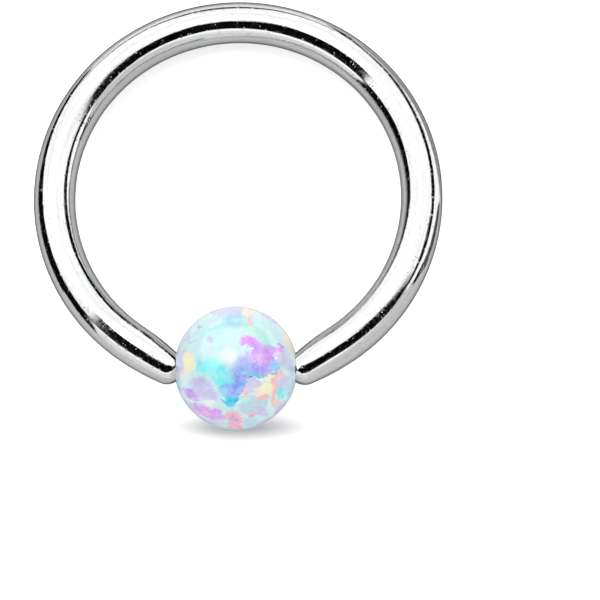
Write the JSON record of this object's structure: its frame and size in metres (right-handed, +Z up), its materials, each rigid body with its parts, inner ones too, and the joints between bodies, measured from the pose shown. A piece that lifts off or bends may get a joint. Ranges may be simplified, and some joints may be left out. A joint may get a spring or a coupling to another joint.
{
  "type": "captive bead ring",
  "caption": "Open wire ring for a body piercing, closed by a round opal bead that turns between its two tapered ends.",
  "frame": {"origin": "middle of the footprint, on the floor that the ring lies on", "axes": "+X across the gap, along the line that the bead turns about; +Y from the bead to the far side of the ring; +Z up"},
  "size_m": [0.01, 0.0108, 0.003],
  "materials": {
    "steel": "polished",
    "opal": "polished"
  },
  "bodies": {
    "ring": {"ring": "steel"},
    "bead": {"bead": "opal"}
  },
  "joints": [
    {"name": "bead_spin", "type": "hinge", "parent": "ring", "child": "bead", "pos_m": [0, -0.00389, 0.0015], "axis": [1, 0, 0], "continuous": true}
  ]
}
